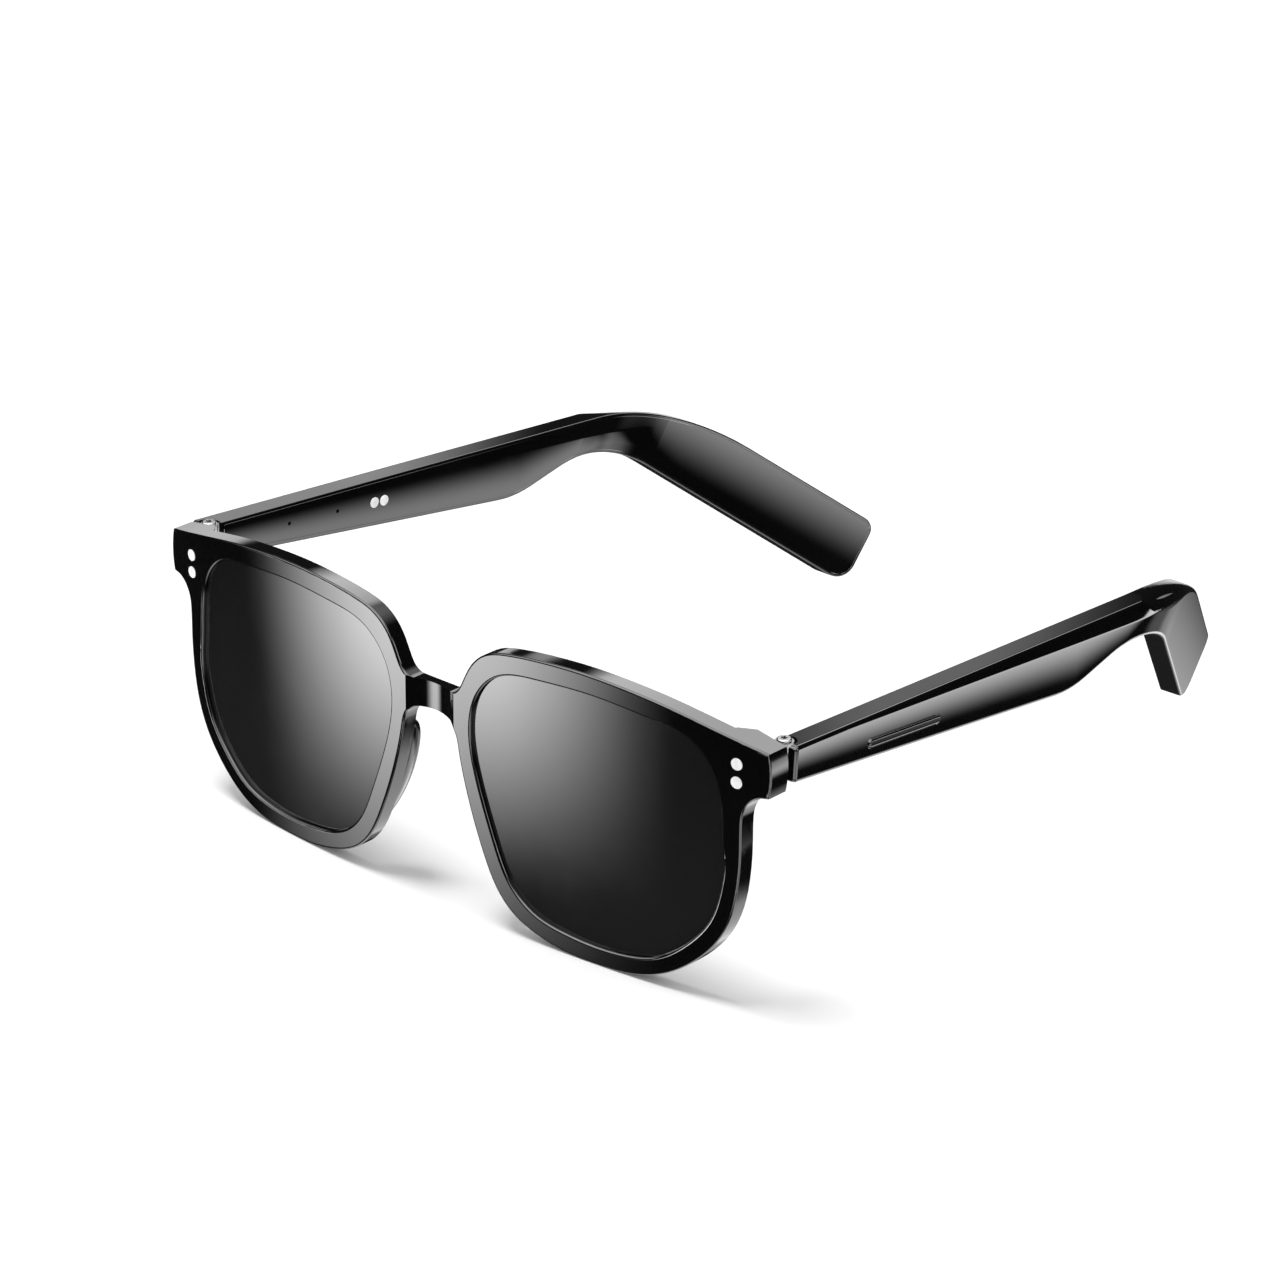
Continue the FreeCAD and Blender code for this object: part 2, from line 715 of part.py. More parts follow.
def round_outer_face(label, shell, sign):
    """Rounds the edges of the outer face, the top one into a shoulder that broadens towards the bend."""
    doc.recompute()
    to_local = temple_placement(sign).inverse()
    outer = size("temple_outer")
    edges = []
    for index, edge in enumerate(shell.Shape.Edges, start=1):
        points = [to_local.multVec(point) for point in edge.discretize(5)]
        if edge.Length < 0.05 or any(abs(wall_coordinate(point, sign) - outer) > 1e-3 for point in points):
            continue
        middle = points[2]
        on_top = middle.z > 1.5 or middle.y * TIP_UP[0] + middle.z * TIP_UP[1] > TIP_MIDDLE
        ends = [to_local.multVec(edge.valueAt(end)) for end in (edge.FirstParameter, edge.LastParameter)]
        edges.append((index, shoulder_radius(ends[0], on_top), shoulder_radius(ends[1], on_top)))
    result = doc.addObject("Part::Fillet", label)
    result.Label = label
    result.Base = shell
    result.Edges = edges
    return result


def along_x(sign, depth, back, height):
    """A placement in the temple's frame whose Z axis points outwards."""
    turn = Rotation(Vector(0, 1, 0), sign * 90)
    return Placement(Vector(sign * depth, back, height), turn)


def pill_plate(label, start, formula, lengths):
    """A round-ended bar outwards through the left temple's thickness, centred on the volume bar."""
    body = new_body(label)
    body.Placement = temple_placement(SIDES["left"])
    lift = Placement(Vector(0, 0, start), Rotation())
    pad(body, sketch(body, "YZ_Plane", pill(BAR_CENTRE, lengths, BAR_TILT), lift), formula)
    return body


def make_volume_bar():
    """A slim push bar: a cap through the slot and a wider flange behind the wall."""
    flange_inner = size("bar_flange_inner")
    face = size("temple_outer") + size("bar_proud")
    base = pill_plate("volume_flange", flange_inner, "Sizes.bar_flange_thickness", BAR_FLANGE)
    cap = pill_plate("volume_cap", flange_inner + size("bar_flange_thickness") / 2,
                     "Sizes.temple_outer + Sizes.bar_proud - Sizes.bar_flange_inner"
                     " - Sizes.bar_flange_thickness / 2", BAR_CAP)
    round_edges(cap, "0.9 * Sizes.bar_proud", lambda point: abs(abs(point.x) - face) < 1e-4)
    return fuse("volume_bar_left", [base, cap])


def make_temple_hinge(side, sign):
    """The temple's hinge leaf: one knuckle, an arm and a plate screwed to the outer wall."""
    placement = temple_placement(sign)
    knuckle = cylinder("temple_knuckle_" + side, "Sizes.knuckle_radius", "Sizes.knuckle_height",
                       Placement(hinge_point(sign, knuckle_span()[0]), Rotation()))
    arm = box("temple_arm_" + side, sign, ARM_CORNER,
              ("Sizes.temple_arm_width", "Sizes.temple_arm_length", "Sizes.temple_arm_height"), placement)
    step = box("temple_step_" + side, sign, STEP_CORNER,
               ("Sizes.temple_outer - Sizes.outer_wall - %s" % STEP_CORNER[0], "Sizes.temple_step_length",
                "Sizes.temple_plate_height"), placement)
    plate = box("temple_plate_" + side, sign, PLATE_CORNER,
                ("Sizes.temple_plate_width", "Sizes.temple_plate_length", "Sizes.temple_plate_height"),
                placement)
    leaf = fuse("temple_leaf_solid_" + side, [knuckle, arm, step, plate])
    hole = cylinder("temple_leaf_hole_" + side, "Sizes.pin_radius + Sizes.pin_play",
                    "Sizes.front_band_height", Placement(hinge_point(sign, 0), Rotation()))
    return boolean("Cut", "temple_leaf_bored_" + side, leaf, hole)


def make_leaf_screws(side, sign):
    """Two small screws that hold the temple's hinge leaf to its outer wall."""
    screws = []
    local = temple_placement(sign)
    plate_face = PLATE_CORNER[0]
    for index, back in enumerate(LEAF_SCREWS_BACK):
        head_start = local * along_x(sign, plate_face - size("leaf_screw_head_height"), back,
                                     LEAF_SCREWS_HEIGHT)
        shank_start = local * along_x(sign, plate_face - 0.1, back, LEAF_SCREWS_HEIGHT)
        head = cylinder("leaf_screw_head_%s_%d" % (side, index), "Sizes.leaf_screw_head_radius",
                        "Sizes.leaf_screw_head_height", head_start)
        shank = cylinder("leaf_screw_shank_%s_%d" % (side, index), "Sizes.leaf_screw_shank_radius",
                         "Sizes.leaf_screw_shank_length", shank_start)
        screws.append(fuse("leaf_screw_%s_%d" % (side, index), [head, shank]))
    return screws


def make_temple(side, sign):
    """All pieces of one temple, as a dictionary of node name and object."""
    local = temple_placement(sign)
    inner = size("temple_inner")
    outer = size("temple_outer")
    margin = size("cover_margin")
    play = size("cover_play")
    cover_depth = inner + size("cover_thickness")
    cavity_outer = outer - size("outer_wall")
    nodes = {}

    shell = slab("temple_blank_" + side, sign, inner, outer, TEMPLE)
    round_edges(shell, "Sizes.temple_inner_round",
                lambda point: abs(wall_coordinate(point, sign) - inner) < 1e-3)
    recess = slab("cover_recess_" + side, sign, inner - 1.0, cover_depth + play,
                  inset(TEMPLE, margin, COVER_FRONT - play))
    cavity = slab("temple_cavity_" + side, sign, cover_depth - 0.5, cavity_outer,
                  inset(TEMPLE, size("wall"), CAVITY_FRONT))
    notch = cylinder("hinge_notch_" + side, "Sizes.temple_notch_radius", "Sizes.front_band_height",
                     Placement(hinge_point(sign, 20.0), Rotation()))
    leaf = make_temple_hinge(side, sign)
    screws = make_leaf_screws(side, sign)
    result = round_outer_face("temple_rounded_" + side, shell, sign)
    for index, tool in enumerate([recess, cavity, notch, leaf] + screws):
        result = boolean("Cut", "temple_hollow_%s_%d" % (side, index), result, tool)

    across, back, height = GRILLE_CENTRE
    grille = local * Placement(Vector(sign * across, back, height), Rotation(Vector(1, 0, 0), GRILLE_TILT))
    half_wide = size("grille_width") / 2
    half_long = size("grille_length") / 2
    slot = box("speaker_slot_" + side, sign, (-half_wide, -half_long, -2.5),
               ("Sizes.grille_width", "Sizes.grille_length", "Sizes.grille_depth"), grille)
    result = boolean("Cut", "temple_slotted_" + side, result, slot)
    nodes["speaker_mesh_" + side] = box("speaker_mesh_" + side, sign,
                                        (-half_wide, -half_long, -size("mesh_thickness")),
                                        ("Sizes.grille_width", "Sizes.grille_length",
                                         "Sizes.mesh_thickness"), grille)
    if side == "left":
        bar_slot = pill_plate("bar_slot", cavity_outer - 1.0, "Sizes.bar_slot_depth", BAR_SLOT)
        result = boolean("Cut", "temple_bar_slotted", result, bar_slot)
    result.Label = "temple_shell_" + side
    nodes["temple_shell_" + side] = result
    for index, screw in enumerate(screws):
        leaf = boolean("Cut", "temple_leaf_screwed_%s_%d" % (side, index), leaf, screw)
    nodes["temple_hinge_" + side] = leaf
    nodes["hinge_leaf_screws_" + side] = group("hinge_leaf_screws_" + side, screws)

    contacts = []
    for index, (back, height) in enumerate(CONTACTS):
        contacts.append(cylinder("contact_%s_%d" % (side, index), "Sizes.contact_radius",
                                 "Sizes.contact_length", local * along_x(sign, inner - 0.1, back, height)))
    nodes["charging_contacts_" + side] = group("charging_contacts_" + side, contacts)
    cover = slab("cover_blank_" + side, sign, inner, cover_depth, inset(TEMPLE, margin + play, COVER_FRONT))
    for index, tool in enumerate(contacts):
        cover = boolean("Cut", "cover_bored_%s_%d" % (side, index), cover, tool)
    for index, (back, height) in enumerate(PINHOLES):
        hole = cylinder("pinhole_%s_%d" % (side, index), "Sizes.pinhole_radius", "2 * Sizes.cover_thickness",
                        local * along_x(sign, inner - 0.3, back, height))
        cover = boolean("Cut", "cover_drilled_%s_%d" % (side, index), cover, hole)
    nodes["temple_cover_" + side] = cover

    nodes.update(make_electronics(side, sign))
    return nodes


def make_electronics(side, sign):
    """What the temple's cavity holds: board, microphones, speaker and battery, by node name."""
    local = temple_placement(sign)
    nodes = {}
    board_inner = size("board_inner")
    board_outer = board_inner + size("board_thickness")
    chip_inner = board_inner - size("chip_depth")
    nodes["main_board_" + side] = box("main_board_" + side, sign, (board_inner, *BOARD_START),
                                      ("Sizes.board_thickness", "Sizes.board_length",
                                       "Sizes.board_height"), local)
    nodes["chip_shield_" + side] = box("chip_shield_" + side, sign, (chip_inner, *SHIELD_START),
                                       ("Sizes.chip_depth", "Sizes.chip_shield_length",
                                        "Sizes.chip_shield_height"), local)
    microphones = []
    for index, (back, height) in enumerate(PINHOLES):
        corner = (chip_inner, back - size("microphone_length") / 2, height - size("microphone_height") / 2)
        microphones.append(box("microphone_%s_%d" % (side, index), sign, corner,
                               ("Sizes.chip_depth", "Sizes.microphone_length",
                                "Sizes.microphone_height"), local))
    nodes["microphones_" + side] = group("microphones_" + side, microphones)

    speaker = new_body("speaker_" + side)
    speaker.Placement = local
    pad(speaker, sketch(speaker, "YZ_Plane", rounded_polygon(SPEAKER)), "Sizes.speaker_thickness",
        backwards=sign < 0)
    nodes["speaker_" + side] = speaker
    nodes["battery_" + side] = slab("battery_" + side, sign, CELL_INNER,
                                    CELL_INNER + size("battery_thickness"), BATTERY)
    nodes["battery_flex_" + side] = slab("battery_flex_" + side, sign, board_outer,
                                         board_outer + size("flex_thickness"), FLEX)
    return nodes


# ---------------------------------------------------------------- assembly

nodes = {}
all_rivets = []
front_hinges = []
for side, sign in SIDES.items():
    rivets = make_rivets(side, sign)
    all_rivets += rivets
    hinge = make_front_hinge(side, sign, rivets)
    front_hinges.append(hinge)
    nodes["front_hinge_" + side] = hinge
    nodes["hinge_screw_" + side] = make_hinge_screw(side, sign)
    nodes["lens_" + side] = make_lens(side, sign)
    nodes["nose_pad_" + side] = make_nose_pad(side, sign)
    nodes.update(make_temple(side, sign))
nodes["front_frame"] = make_front(all_rivets, front_hinges)
nodes["end_piece_rivets"] = group("end_piece_rivets", all_rivets)
nodes["volume_bar_left"] = make_volume_bar()
nodes["bar_switch_left"] = box("bar_switch_left", SIDES["left"], SWITCH_CORNER,
                               ("Sizes.bar_switch_thickness", "Sizes.bar_switch_length",
                                "Sizes.bar_switch_height"), temple_placement(SIDES["left"]))
doc.recompute()

# Every object must be sound before anything is written.
for item in doc.Objects:
    if "Invalid" in item.State or "Error" in item.State:
        raise RuntimeError("%s failed: %s" % (item.Label, item.State))
for name, item in nodes.items():
    item.Label = name
    shape = item.Shape
    if shape.isNull() or not shape.isValid() or not shape.Solids:
        raise RuntimeError("%s has no sound solid" % name)

os.makedirs("parts", exist_ok=True)
for name, item in nodes.items():
    item.Shape.exportStep("parts/%s.step" % name)
    print("%-26s solids %d  volume %9.2f" % (name, len(item.Shape.Solids), item.Shape.Volume))
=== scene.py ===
import json
import math

import bpy
from mathutils import Matrix, Vector


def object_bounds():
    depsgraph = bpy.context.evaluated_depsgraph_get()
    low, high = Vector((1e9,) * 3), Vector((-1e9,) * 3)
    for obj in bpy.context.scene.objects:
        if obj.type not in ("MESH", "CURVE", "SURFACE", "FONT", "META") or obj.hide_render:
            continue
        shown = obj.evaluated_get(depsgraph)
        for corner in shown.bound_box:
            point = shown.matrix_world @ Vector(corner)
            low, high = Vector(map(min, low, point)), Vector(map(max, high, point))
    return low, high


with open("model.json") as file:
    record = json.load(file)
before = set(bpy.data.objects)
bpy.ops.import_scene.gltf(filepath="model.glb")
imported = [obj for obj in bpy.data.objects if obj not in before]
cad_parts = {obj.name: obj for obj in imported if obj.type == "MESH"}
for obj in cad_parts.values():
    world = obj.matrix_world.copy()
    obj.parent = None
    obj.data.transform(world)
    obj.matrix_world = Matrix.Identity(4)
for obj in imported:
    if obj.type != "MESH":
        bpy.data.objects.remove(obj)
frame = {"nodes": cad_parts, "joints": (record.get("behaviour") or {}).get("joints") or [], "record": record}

# Smart glasses: materials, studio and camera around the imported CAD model.
# Metres, unless a comment says otherwise. +X is the wearer's left, the lenses look along -Y, +Z is up, and
# Z = 0 is the table.

MM = 0.001
cad_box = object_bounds()


# ---------------------------------------------------------------- node helpers

# A Mix node has sockets for every kind of data. These are the ones for colours.
MIX_FACTOR, MIX_FIRST, MIX_SECOND = 0, 6, 7
MIX_RESULT = 2


class Graph:
    """A node tree with short calls for the nodes that the materials and the world use."""

    def __init__(self, tree):
        self.tree = tree

    def node(self, kind, **settings):
        made = self.tree.nodes.new(kind)
        for name, value in settings.items():
            setattr(made, name, value)
        return made

    def link(self, source, target):
        """Joins an output to an input, or sets the input where the source is a number."""
        if isinstance(source, (int, float)):
            target.default_value = source
        else:
            self.tree.links.new(source, target)

    def math(self, operation, *values):
        made = self.node("ShaderNodeMath", operation=operation)
        for value, socket in zip(values, made.inputs):
            self.link(value, socket)
        return made.outputs[0]

    def line(self, value, start, slope):
        return self.math("MULTIPLY_ADD", value, slope, start)

    def smooth(self, value, start, end, low=0.0, high=1.0):
        """Runs smoothly from low to high as value goes from start to end."""
        made = self.node("ShaderNodeMapRange", interpolation_type="SMOOTHSTEP")
        for name, number in (("Value", value), ("From Min", start), ("From Max", end),
                             ("To Min", low), ("To Max", high)):
            self.link(number, made.inputs[name])
        return made.outputs[0]

    def mix_colour(self, factor, first, second):
        made = self.node("ShaderNodeMix", data_type="RGBA")
        self.link(factor, made.inputs[MIX_FACTOR])
        made.inputs[MIX_FIRST].default_value = (*first, 1.0)
        made.inputs[MIX_SECOND].default_value = (*second, 1.0)
        return made.outputs[MIX_RESULT]

    def noise(self, vector, scale, detail=3.0, roughness=0.5):
        made = self.node("ShaderNodeTexNoise")
        self.link(vector, made.inputs["Vector"])
        made.inputs["Scale"].default_value = scale
        made.inputs["Detail"].default_value = detail
        made.inputs["Roughness"].default_value = roughness
        return made.outputs["Fac"]

    def object_place(self):
        return self.node("ShaderNodeTexCoord").outputs["Object"]

    def split(self, vector):
        """The X, Y and Z of a vector, by name."""
        made = self.node("ShaderNodeSeparateXYZ")
        self.link(vector, made.inputs[0])
        return made.outputs


def new_material(name):
    """A material with an empty tree, its Principled shader linked to the output."""
    material = bpy.data.materials.new(name)
    material.use_nodes = True
    material.node_tree.nodes.clear()
    graph = Graph(material.node_tree)
    shader = graph.node("ShaderNodeBsdfPrincipled")
    output = graph.node("ShaderNodeOutputMaterial")
    graph.link(shader.outputs["BSDF"], output.inputs["Surface"])
    return material, graph, shader


# ---------------------------------------------------------------- plain materials

DARKEST_ACETATE = (0.0015, 0.0015, 0.0017)
LIGHTEST_ACETATE = (0.003, 0.003, 0.0034)
ACETATE_GLOSS = 0.035
LENS_GLOSS = 0.045
POLISHED_IOR = 1.5

LENS_FOOT, LENS_HEAD = (0.0135, 0.0135, 0.014), (0.009, 0.009, 0.0095)
LENS_BOTTOM, LENS_TOP = 0.004, 0.052
LENS_MIDDLE = 0.035
LENS_HALF = 0.024
LENS_CROWN = 0.020


def polish(graph, shader, place, gloss):
    """Faint wipe marks in the gloss, and the index that sets how much it reflects."""
    marks = graph.noise(place, 90.0, 4.0, 0.6)
    graph.link(graph.smooth(marks, 0.35, 0.75, gloss, gloss * 1.9), shader.inputs["Roughness"])
    shader.inputs["IOR"].default_value = POLISHED_IOR


def tilt_normal(graph, shader, direction, amount):
    """Leans the surface's normal along a direction by an amount that varies over the surface."""
    tilt = graph.node("ShaderNodeVectorMath", operation="SCALE")
    tilt.inputs[0].default_value = direction
    graph.link(amount, tilt.inputs["Scale"])
    surface = graph.node("ShaderNodeNewGeometry")
    total = graph.node("ShaderNodeVectorMath", operation="ADD")
    graph.link(surface.outputs["Normal"], total.inputs[0])
    graph.link(tilt.outputs[0], total.inputs[1])
    unit = graph.node("ShaderNodeVectorMath", operation="NORMALIZE")
    graph.link(total.outputs[0], unit.inputs[0])
    graph.link(unit.outputs[0], shader.inputs["Normal"])


def acetate(name, gloss=ACETATE_GLOSS):
    """Polished black acetate: nearly all of what it shows is what it reflects."""
    material, graph, shader = new_material(name)
    place = graph.object_place()
    cloud = graph.smooth(graph.noise(place, 35.0), 0.35, 0.7)
    graph.link(graph.mix_colour(cloud, DARKEST_ACETATE, LIGHTEST_ACETATE), shader.inputs["Base Color"])
    polish(graph, shader, place, gloss)
    return material, graph, shader, place


def gloss_black(name, gloss=ACETATE_GLOSS):
    return acetate(name, gloss)[0]


def dark_lens(name):
    """Near-opaque grey sun lens with a polished, slightly crowned face."""
    material, graph, shader = new_material(name)
    place = graph.object_place()
    height = graph.split(place)["Z"]
    shade = graph.smooth(height, LENS_BOTTOM, LENS_TOP)
    depth = graph.math("MULTIPLY_ADD", graph.noise(place, 25.0, 2.0), 0.12, shade)
    graph.link(graph.mix_colour(depth, LENS_FOOT, LENS_HEAD), shader.inputs["Base Color"])
    polish(graph, shader, place, LENS_GLOSS)
    level = graph.math("DIVIDE", graph.math("SUBTRACT", height, LENS_MIDDLE), LENS_HALF)
    tilt_normal(graph, shader, (0, 0, 1), graph.math("MULTIPLY", level, LENS_CROWN))
    return material


def satin_metal(name, colour, dull, grain=900.0, metallic=0.85):
    """Metal with a fine turned or brushed grain."""
    material, graph, shader = new_material(name)
    fine = graph.noise(graph.object_place(), grain, 2.0)
    streak = graph.smooth(fine, 0.3, 0.7)
    darker = tuple(0.86 * value for value in colour)
    graph.link(graph.mix_colour(streak, darker, colour), shader.inputs["Base Color"])
    graph.link(graph.smooth(fine, 0.3, 0.7, dull * 1.2, dull), shader.inputs["Roughness"])
    bump = graph.node("ShaderNodeBump")
    bump.inputs["Strength"].default_value = 0.15
    bump.inputs["Distance"].default_value = 0.01 * MM
    graph.link(fine, bump.inputs["Height"])
    graph.link(bump.outputs[0], shader.inputs["Normal"])
    shader.inputs["Metallic"].default_value = metallic
    return material


def dull_plastic(name, colour, other, dull=0.5):
    """Moulded or coated surface with a fine mottle."""
    material, graph, shader = new_material(name)
    mottle = graph.smooth(graph.noise(graph.object_place(), 400.0), 0.35, 0.65)
    graph.link(graph.mix_colour(mottle, colour, other), shader.inputs["Base Color"])
    graph.link(graph.smooth(mottle, 0.0, 1.0, dull, dull * 1.25), shader.inputs["Roughness"])
    return material


# ---------------------------------------------------------------- the temples' crowned acetate

# In the temple's own frame, in millimetres and degrees: the hinge is its origin and the temple runs back
# along +Y. An edge is given by its height at the hinge and how much it rises for each millimetre back.
TEMPLE_TOE_IN = 1.8
TEMPLE_DROP = 3.656
TOP_EDGE = 3.1
LOWER_EDGE = (-3.6, -0.0661)
CLIMBING_EDGE = (-33.2, 0.3)
BEND_EDGE = -2.5
TIP_UP = (0, 0.5825, 0.813)
TIP_MIDDLE = 66.6
TIP_HALF = 7.0
TIP_STARTS = (96.0, 122.0)
CROWN = 0.085
SHOULDER = 0.22
SHOULDER_EDGE = (2.56, -0.0318)
SHOULDER_FADE = 0.6
SHOULDER_ENDS = (102.0, 118.0)
PINHOLES = ((19.1, -0.9), (31.5, -1.15))
PINHOLE_WALL = (0.36, 0.42)
FULL_SHINE = 0.5


def temple_placement(side):
    """The turn and place that take the temple's own frame to the object's."""
    sign = 1 if side == "left" else -1
    hinge = next(joint["pos_m"] for joint in frame["joints"] if joint["child"] == "temple_" + side)
    return (Matrix.Translation(Vector(hinge))
            @ Matrix.Rotation(sign * math.radians(TEMPLE_TOE_IN), 4, "Z")
            @ Matrix.Rotation(-math.radians(TEMPLE_DROP), 4, "X"))


def crown_level(graph, back, height, across_tip):
    """-1 at the temple's lower edge, 0 in the middle of its face, and 1 at its upper edge."""
    bend = graph.math("MINIMUM", graph.line(back, *CLIMBING_EDGE), BEND_EDGE)
    lower = graph.math("MAXIMUM", graph.line(back, *LOWER_EDGE), bend)
    half = graph.math("MULTIPLY", graph.math("SUBTRACT", TOP_EDGE, lower), 0.5)
    middle = graph.math("ADD", lower, half)
    straight = graph.math("DIVIDE", graph.math("SUBTRACT", height, middle), half)
    tip = graph.math("DIVIDE", graph.math("SUBTRACT", across_tip, TIP_MIDDLE), TIP_HALF)
    share = graph.smooth(back, *TIP_STARTS)
    level = graph.math("ADD", graph.math("MULTIPLY", straight, graph.math("SUBTRACT", 1.0, share)),
                       graph.math("MULTIPLY", tip, share))
    return graph.math("MAXIMUM", -1.0, graph.math("MINIMUM", 1.0, level))


def shoulder_lean(graph, back, height):
    """The shoulder's extra lean: a thin line at the hinge, a third of the face before the bend."""
    above = graph.math("SUBTRACT", height, graph.line(back, *SHOULDER_EDGE))
    lean = graph.smooth(above, 0.0, SHOULDER_FADE, 0.0, SHOULDER)
    return graph.math("MULTIPLY", lean, graph.smooth(back, *SHOULDER_ENDS, 1.0, 0.0))


def paint_pinhole_shade(graph, shader, back, height):
    """The pinholes' walls get no specular reflection at all: painted shade standing in for the dark inside
    of each hole.
    """
    shine = FULL_SHINE
    for hole_back, hole_height in PINHOLES:
        off = graph.math("ADD", graph.math("POWER", graph.math("SUBTRACT", back, hole_back), 2.0),
                         graph.math("POWER", graph.math("SUBTRACT", height, hole_height), 2.0))
        shine = graph.math("MULTIPLY", shine, graph.smooth(graph.math("SQRT", off), *PINHOLE_WALL))
    # shine falls to zero on each hole's wall, which paints the hole dark as painted shade
    graph.link(shine, shader.inputs["Specular IOR Level"])


def crowned_black(name, side, pinholes=False):
    """The temples' acetate, whose broad faces are crowned a little by the polishing wheel."""
    material, graph, shader, place = acetate(name)
    placement = temple_placement(side)
    turn = placement.to_3x3()
    apart = graph.node("ShaderNodeVectorMath", operation="SUBTRACT")
    graph.link(place, apart.inputs[0])
    apart.inputs[1].default_value = placement.translation

    def along(direction):
        """Distance from the hinge along a direction of the temple's own frame, in millimetres."""
        dot = graph.node("ShaderNodeVectorMath", operation="DOT_PRODUCT")
        graph.link(apart.outputs[0], dot.inputs[0])
        dot.inputs[1].default_value = turn @ Vector(direction) / MM
        return dot.outputs["Value"]

    back = along((0, 1, 0))
    height = along((0, 0, 1))
    level = crown_level(graph, back, height, along(TIP_UP))
    lean = graph.math("ADD", graph.math("MULTIPLY", level, CROWN), shoulder_lean(graph, back, height))
    tilt_normal(graph, shader, turn @ Vector((0, 0, 1)), lean)
    # Painted shade in the pinholes: their walls are made to reflect nothing.
    if pinholes:
        paint_pinhole_shade(graph, shader, back, height)
    return material


# ---------------------------------------------------------------- which node gets which

FINISHES = {
    "gloss_black": gloss_black("black_acetate"),
    "dark_lens": dark_lens("grey_sun_lens"),
    "pad_black": gloss_black("pad_acetate", 0.05),
    "silver_trim": satin_metal("silver_steel", (0.92, 0.92, 0.92), 0.45, metallic=0.2),
    "hinge_steel": satin_metal("hinge_steel", (0.24, 0.24, 0.25), 0.3, metallic=1.0),
    "contact_plating": satin_metal("plated_contact", (0.9, 0.9, 0.89), 0.45, metallic=0.2),
    "board_green": dull_plastic("solder_mask", (0.02, 0.12, 0.05), (0.03, 0.17, 0.07), 0.35),
    "shield_tin": satin_metal("tinned_shield", (0.62, 0.62, 0.6), 0.35),
    "speaker_black": dull_plastic("speaker_housing", (0.03, 0.03, 0.03), (0.045, 0.045, 0.045)),
    "mesh_steel": satin_metal("blackened_mesh", (0.12, 0.12, 0.12), 0.4),
    "cell_foil": satin_metal("cell_foil", (0.6, 0.61, 0.63), 0.3, grain=300.0),
    "flex_amber": dull_plastic("polyimide_film", (0.45, 0.22, 0.04), (0.55, 0.28, 0.06), 0.3),
    "switch_metal": satin_metal("stamped_switch", (0.6, 0.6, 0.6), 0.35),
}
screw_steel = satin_metal("screw_steel", (0.3, 0.3, 0.3), 0.3, metallic=1.0)
SIDES = ("left", "right")
temple_acetate = {side: crowned_black("temple_acetate_" + side, side) for side in SIDES}
cover_acetate = {side: crowned_black("cover_acetate_" + side, side, pinholes=True) for side in SIDES}


def finish_of(node, slot):
    side = node.rsplit("_", 1)[1]
    if node.startswith(("temple_shell", "volume_bar")):
        return temple_acetate[side]
    if node.startswith("temple_cover"):
        return cover_acetate[side]
    if node.startswith("hinge_screw"):
        return screw_steel
    return FINISHES[slot]


def dress_nodes():
    for row in frame["record"]["subparts"]:
        slots = frame["nodes"][row["node"]].data.materials
        slots.clear()
        slots.append(finish_of(row["node"], row["material_slot"]))


def lighten_temples():
    """Leaves the temples out of reflections and of shade on the table, as the photograph has neither."""
    for body, nodes in frame["record"]["behaviour"]["bodies"].items():
        if body == "front":
            continue
        for node in nodes:
            piece = frame["nodes"][node]
            piece.visible_glossy = False
            piece.visible_diffuse = False
            piece.visible_shadow = False


dress_nodes()
lighten_temples()


# ---------------------------------------------------------------- studio

# Soft boxes as the gloss sees them, in degrees: azimuth (0 is -Y, 90 is +X) from, to and how far its edges
# fade, elevation of the lower edge and its fade, of the upper edge and its fade, brightness.
SOFT_BOXES = {
    "key_front": (-53.5, -33.0, 7.5, -24.9, 4.0, -5.0, 4.0, 17.5),
    "edges_up": (-80.0, 60.0, 8.0, 24.0, 6.0, 66.0, 6.0, 7.0),
    "edges_out": (20.0, 72.0, 6.0, -42.0, 6.0, -10.0, 6.0, 5.0),
    "back_high": (-161.0, -124.0, 7.0, 27.0, 2.5, 45.0, 5.0, 5.4),
    "back_strip_right": (-137.6, -133.5, 1.2, 15.0, 1.0, 18.9, 1.0, 1.7),
    "back_strip_left": (-145.4, -142.0, 1.2, 15.0, 1.0, 19.5, 1.0, 0.95),
    "end_piece": (-133.0, -125.0, 2.0, 2.0, 2.0, 10.0, 2.0, 2.1),
    "temple_outside": (136.0, 162.0, 4.0, -23.0, 4.6, -13.0, 1.2, 7.6),
    "bend_outside": (166.0, 178.0, 4.0, -35.0, 3.0, -23.0, 4.0, 0.45),
    "temple_inside": (108.0, 138.0, 3.0, -48.0, 5.0, -22.5, 4.5, 3.9),
    "nose_pads": (84.0, 106.0, 5.0, -36.0, 5.0, -17.0, 4.0, 5.0),
    "pads_and_undersides": (150.0, 200.0, 6.0, -56.0, 5.0, -36.0, 3.0, 2.5),
    "bend_inside": (104.0, 122.0, 3.0, -26.0, 3.0, -16.5, 2.5, 2.5),
    "tip_inside": (82.0, 114.0, 5.0, 4.5, 9.0, 30.0, 6.0, 8.0),
    "tip_outside": (-180.0, -149.0, 5.0, -45.0, 5.0, -26.6, 2.6, 0.85),
    "tip_top": (-156.0, -138.0, 3.0, -17.0, 3.0, 9.0, 3.0, 1.3),
}
# Elevation from and to, and brightness from and to, of the glows overhead and underfoot.
GLOW_ABOVE = (38.0, 70.0, 0.03, 7.0)
GLOW_BELOW = (-74.0, -50.0, 4.0, 0.0)
EVEN_LIGHT = 0.75

FLOOR_REACH = 6.0
FLOOR_DARK, FLOOR_PALE = (0.93, 0.93, 0.93), (0.95, 0.95, 0.95)

LIGHT_PLACE = (-0.42, -0.38, 2.5)
LIGHT_AIM = (0, -0.06, 0)
LIGHT_WIDTH = 0.9
LIGHT_POWER = 44.0


